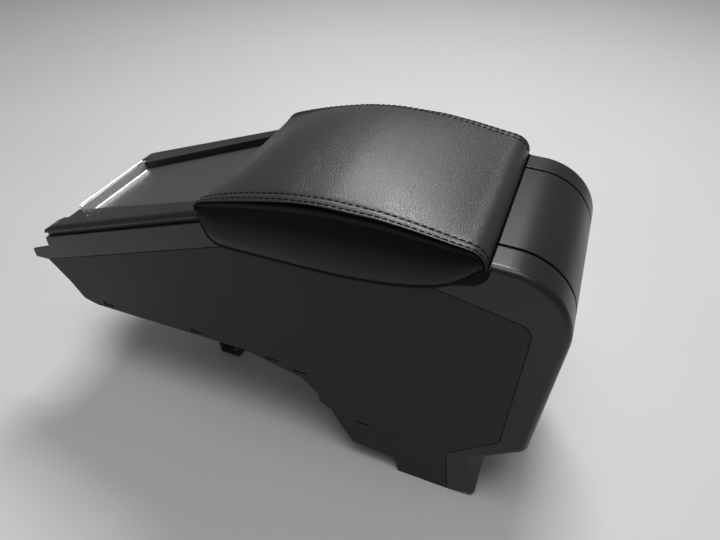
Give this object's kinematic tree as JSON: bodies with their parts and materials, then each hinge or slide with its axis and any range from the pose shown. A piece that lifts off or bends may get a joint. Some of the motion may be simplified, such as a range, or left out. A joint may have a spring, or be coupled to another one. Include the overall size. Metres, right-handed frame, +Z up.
{
  "type": "car centre armrest",
  "caption": "Rear section of a car's centre console: a padded leather armrest hinged over a storage bin, behind a sliding cover with a polished lip between two sloping rails.",
  "frame": {"origin": "on the floor, under the middle of the console's length and width", "axes": "+X towards the rear of the car, +Y towards the car's right, +Z up"},
  "size_m": [0.6098, 0.2104, 0.356],
  "materials": {
    "frame_plastic": "dark moulded plastic with a fine grain",
    "panel_plastic": "dark moulded plastic with a fine grain",
    "cover_plastic": "dark plastic with a fine pebbled grain",
    "polished_metal": "polished",
    "leather": "black grained leather, satin",
    "gusset_leather": "black leather-like cover, satin",
    "foam": "open-cell foam",
    "inner_plastic": "plain black plastic",
    "steel": "black coated steel sheet",
    "plated_steel": "zinc plated",
    "rubber": "matte",
    "felt": "short felt"
  },
  "bodies": {
    "console": {"top_frame": "frame_plastic", "left_side_panel": "panel_plastic", "right_side_panel": "panel_plastic", "rear_panel": "frame_plastic", "carrier": "inner_plastic", "front_bracket": "steel", "bracket_bolts": "plated_steel", "panel_clips": "steel", "cup_tray": "inner_plastic", "cup_mat": "rubber", "left_track": "inner_plastic", "right_track": "inner_plastic", "storage_bin": "inner_plastic", "bin_mat": "felt", "bin_screws": "plated_steel", "hinge_bracket": "steel", "hinge_screws": "plated_steel", "hinge_pin": "plated_steel", "hinge_washers": "inner_plastic", "bump_stops": "rubber"},
    "armrest": {"armrest_base": "inner_plastic", "foam_pad": "foam", "leather_top": "leather", "left_gusset": "gusset_leather", "right_gusset": "gusset_leather", "hinge_arms": "steel", "arm_screws": "plated_steel"},
    "cover": {"sliding_cover": "cover_plastic", "polished_lip": "polished_metal", "left_runner": "inner_plastic", "right_runner": "inner_plastic"}
  },
  "joints": [
    {"name": "armrest_hinge", "type": "hinge", "parent": "console", "child": "armrest", "pos_m": [0.21009, 0, 0.321], "axis": [0, 1, 0], "range_deg": [0, 75]},
    {"name": "cover_slide", "type": "slide", "parent": "console", "child": "cover", "axis": [0.9438, 0, 0.3305], "range_m": [0, 0.118]}
  ]
}
